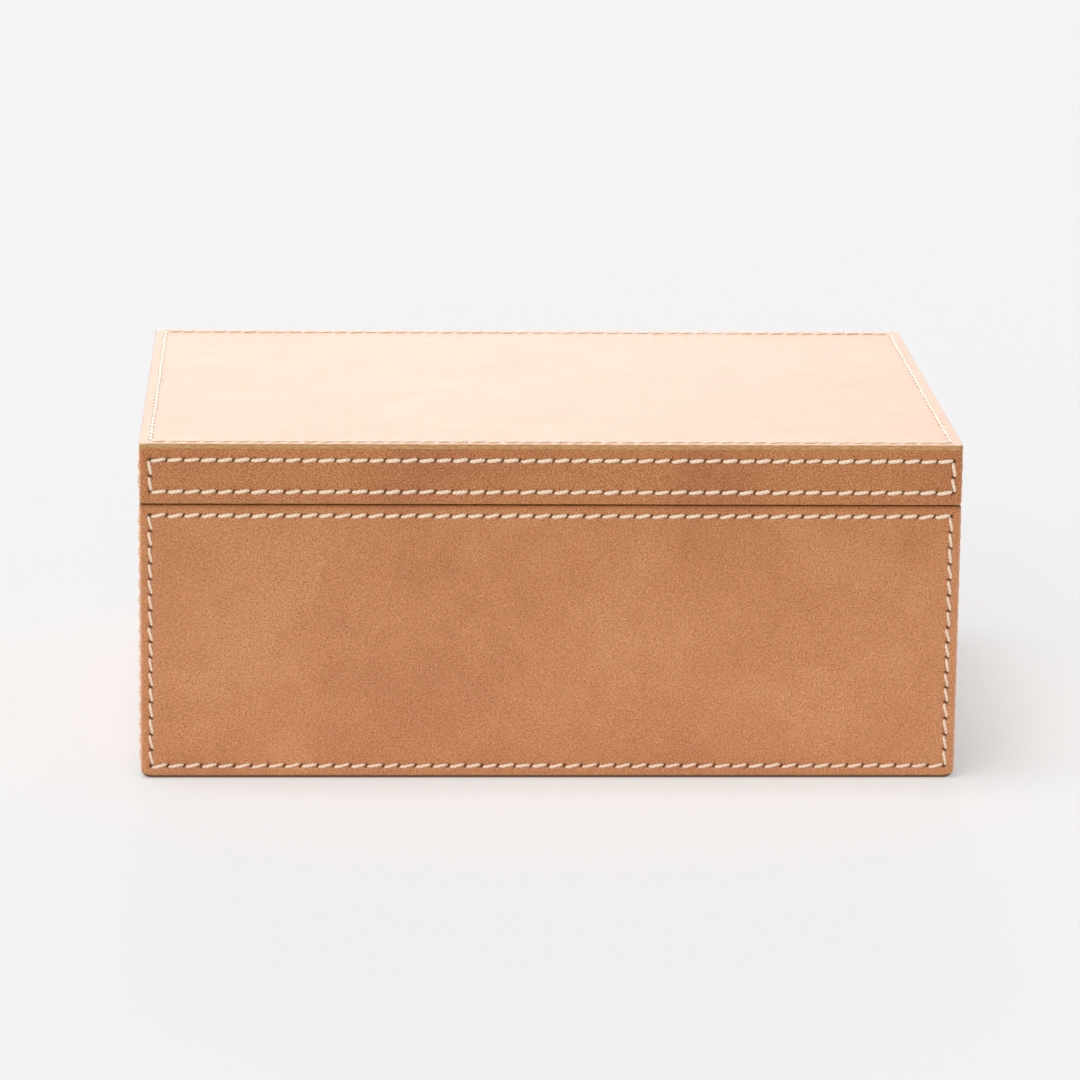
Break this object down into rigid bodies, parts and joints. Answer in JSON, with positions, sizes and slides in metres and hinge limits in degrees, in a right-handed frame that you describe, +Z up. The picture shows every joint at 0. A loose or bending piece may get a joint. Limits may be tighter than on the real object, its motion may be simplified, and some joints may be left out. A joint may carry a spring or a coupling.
{
  "type": "stationery box",
  "caption": "Low leather-covered box for papers with a shallow lid hinged at the back, saddle-stitched panels and a suede-lined inside.",
  "frame": {"origin": "under the middle of the box, on the surface that it stands on", "axes": "+X to the right seen from the front, +Y from the front to the hinges at the back, +Z up"},
  "size_m": [0.321, 0.2375, 0.1345],
  "materials": {
    "leather": "undyed vegetable tanned, smooth with a fine grain, burnished edges",
    "rim_leather": "thin undyed leather binding, lightly burnished",
    "lining": "natural suede, short nap",
    "board": "raw plywood, hidden under leather and lining",
    "thread": "waxed linen thread, natural cream",
    "hinge_brass": "satin brass"
  },
  "bodies": {
    "base": {"base_bottom_board": "board", "base_front_board": "board", "base_back_board": "board", "base_left_board": "board", "base_right_board": "board", "base_bottom_leather": "leather", "base_front_leather": "leather", "base_back_leather": "leather", "base_left_leather": "leather", "base_right_leather": "leather", "base_floor_lining": "lining", "base_front_lining": "lining", "base_back_lining": "lining", "base_left_lining": "lining", "base_right_lining": "lining", "base_front_rim": "rim_leather", "base_back_rim": "rim_leather", "base_left_rim": "rim_leather", "base_right_rim": "rim_leather", "base_front_stitching": "thread", "base_back_stitching": "thread", "base_left_stitching": "thread", "base_right_stitching": "thread", "left_hinge_base_leaf": "hinge_brass", "right_hinge_base_leaf": "hinge_brass", "left_hinge_pin": "hinge_brass", "right_hinge_pin": "hinge_brass", "base_hinge_screws": "hinge_brass"},
    "lid": {"lid_top_board": "board", "lid_front_board": "board", "lid_back_board": "board", "lid_left_board": "board", "lid_right_board": "board", "lid_top_leather": "leather", "lid_front_leather": "leather", "lid_back_leather": "leather", "lid_left_leather": "leather", "lid_right_leather": "leather", "lid_ceiling_lining": "lining", "lid_front_lining": "lining", "lid_back_lining": "lining", "lid_left_lining": "lining", "lid_right_lining": "lining", "lid_front_rim": "rim_leather", "lid_back_rim": "rim_leather", "lid_left_rim": "rim_leather", "lid_right_rim": "rim_leather", "lid_top_stitching": "thread", "lid_front_stitching": "thread", "lid_back_stitching": "thread", "lid_left_stitching": "thread", "lid_right_stitching": "thread", "left_hinge_lid_leaf": "hinge_brass", "right_hinge_lid_leaf": "hinge_brass", "lid_hinge_screws": "hinge_brass"}
  },
  "joints": [
    {"name": "lid_hinge", "type": "hinge", "parent": "base", "child": "lid", "pos_m": [0, 0.117, 0.11], "axis": [-1, 0, 0], "range_deg": [0, 100]}
  ]
}
